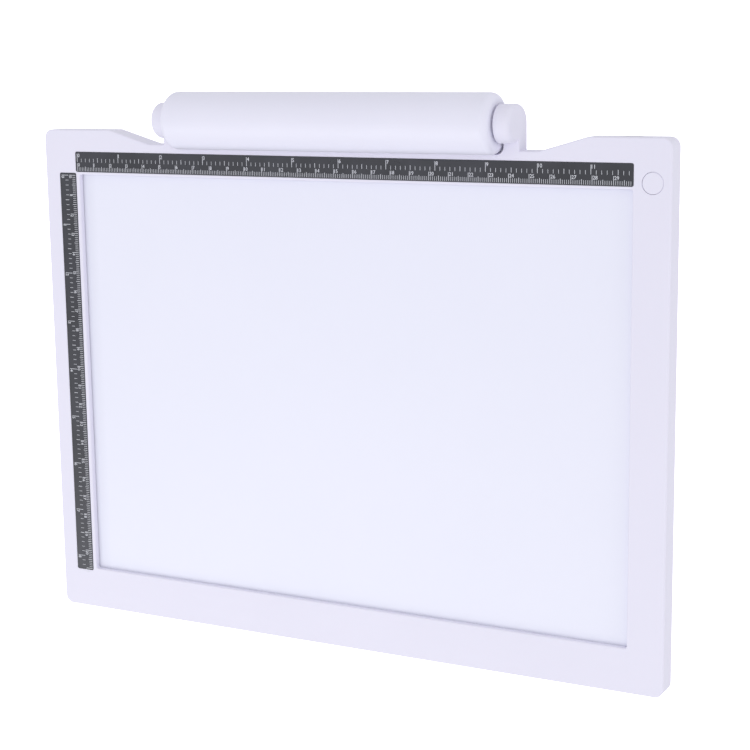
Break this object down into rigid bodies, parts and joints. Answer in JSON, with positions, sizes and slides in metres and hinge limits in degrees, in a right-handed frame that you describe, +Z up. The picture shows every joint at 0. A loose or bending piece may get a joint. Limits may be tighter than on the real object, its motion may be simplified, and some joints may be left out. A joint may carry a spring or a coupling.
{
  "type": "tracing light box",
  "caption": "Slim A4 tracing light pad with edge rulers, a power button and a round battery barrel that swings a folding stand.",
  "frame": {"origin": "below the middle of the whole object, at the level of the rubber feet it lies on", "axes": "+X along the pad's width towards the power button, +Y from the user's edge to the battery barrel, +Z up out of the screen"},
  "size_m": [0.337, 0.2738, 0.0298],
  "materials": {
    "housing_white": "fine matt moulded ABS",
    "barrel_white": "satin moulded ABS",
    "button_white": "satin moulded ABS",
    "screen_opal": "opal acrylic, satin",
    "guide_acrylic": "clear acrylic with a dot pattern",
    "reflector_film": "white film",
    "strip_board_white": "white solder mask",
    "led_phosphor": "phosphor face",
    "ruler_black": "black laminate, satin",
    "gasket_foam": "foam tape",
    "foot_rubber": "matt rubber",
    "screw_steel": "zinc plated",
    "board_green": "solder mask",
    "component_black": "moulded package",
    "inlet_steel": "stamped shell",
    "lead_insulation": "PVC insulation",
    "pin_steel": "ground steel",
    "washer_nylon": "nylon",
    "tray_grey": "moulded ABS",
    "cell_wrap": "plain printed sleeve",
    "contact_nickel": "nickel plated"
  },
  "bodies": {
    "pad": {"front_bezel": "housing_white", "rear_cover": "housing_white", "rubber_feet": "foot_rubber", "cover_screws": "screw_steel", "screen_gasket": "gasket_foam", "diffuser_screen": "screen_opal", "light_guide": "guide_acrylic", "reflector_sheet": "reflector_film", "led_strip_board": "strip_board_white", "leds": "led_phosphor", "top_ruler": "ruler_black", "side_ruler": "ruler_black", "control_board": "board_green", "board_components": "component_black", "tact_switch": "component_black", "power_inlet": "inlet_steel", "led_leads": "lead_insulation", "battery_leads": "lead_insulation"},
    "stand_barrel": {"barrel_shell": "barrel_white", "barrel_cap_left": "barrel_white", "barrel_cap_right": "barrel_white", "hinge_pin_left": "pin_steel", "hinge_pin_right": "pin_steel", "friction_washers": "washer_nylon", "battery_tray": "tray_grey", "battery_cells": "cell_wrap", "contact_plates": "contact_nickel", "contact_spring": "contact_nickel", "barrel_lead": "lead_insulation", "stand_leaf": "barrel_white", "leaf_foot": "foot_rubber"},
    "power_button": {"power_button": "button_white", "switch_plunger": "component_black"},
    "battery_door": {"battery_door": "barrel_white"}
  },
  "joints": [
    {"name": "stand_hinge", "type": "hinge", "parent": "pad", "child": "stand_barrel", "pos_m": [0, 0.12282, 0.0157], "axis": [1, 0, 0], "range_deg": [0, 75]},
    {"name": "power_button_press", "type": "slide", "parent": "pad", "child": "power_button", "axis": [0, 0, -1], "range_m": [0, 0.0006], "stiffness_N_per_m": 2000},
    {"name": "battery_door_lift", "type": "slide", "parent": "stand_barrel", "child": "battery_door", "axis": [0, 0.6372, -0.7707], "range_m": [0, 0.03]}
  ]
}
